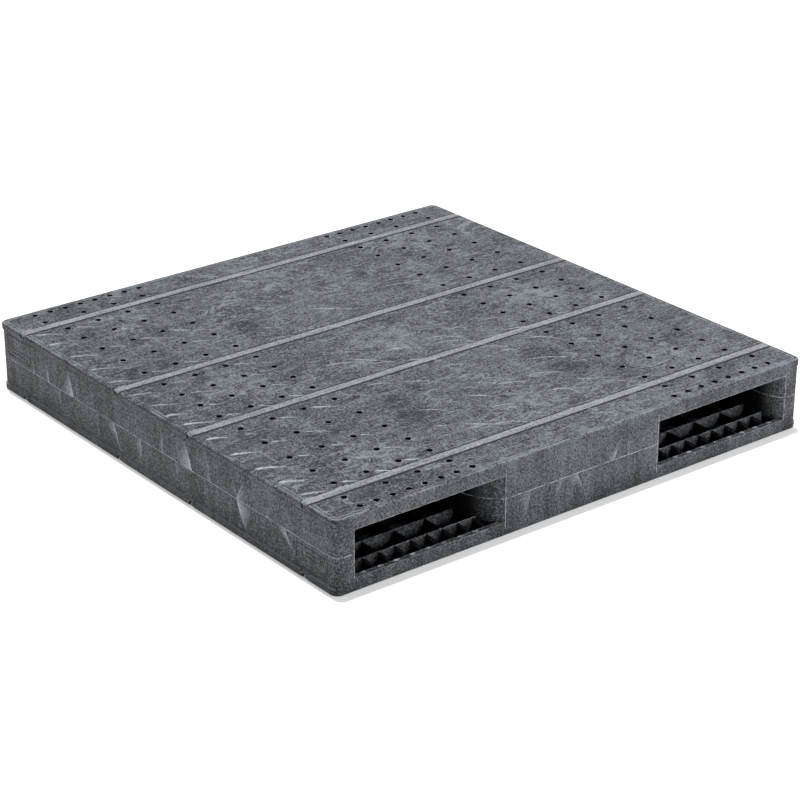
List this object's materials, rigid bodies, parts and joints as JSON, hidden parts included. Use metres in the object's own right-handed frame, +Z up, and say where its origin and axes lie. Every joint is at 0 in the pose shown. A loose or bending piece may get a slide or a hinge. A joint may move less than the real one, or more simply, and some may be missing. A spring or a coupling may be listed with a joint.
{
  "type": "plastic pallet",
  "caption": "Square reversible plastic pallet with two closed decks, through fork tunnels along one direction, drain holes and inlaid anti-slip strips.",
  "frame": {"origin": "centre of the square footprint, on the surface that the pallet stands on", "axes": "+X along the anti-slip strips, across the fork tunnels; +Y along the fork tunnels; +Z up, out of the upper deck"},
  "size_m": [1.1, 1.1, 0.144],
  "materials": {
    "moulded_plastic": "recycled polyolefin, dark blue-grey, faint flow marbling, satin to matte",
    "strip_elastomer": "light grey thermoplastic elastomer, matte"
  },
  "bodies": {
    "root": {"upper_half_moulding": "moulded_plastic", "lower_half_moulding": "moulded_plastic", "top_strip_front": "strip_elastomer", "top_strip_mid_front": "strip_elastomer", "top_strip_mid_rear": "strip_elastomer", "top_strip_rear": "strip_elastomer", "bottom_strip_front": "strip_elastomer", "bottom_strip_mid_front": "strip_elastomer", "bottom_strip_mid_rear": "strip_elastomer", "bottom_strip_rear": "strip_elastomer"}
  },
  "joints": []
}
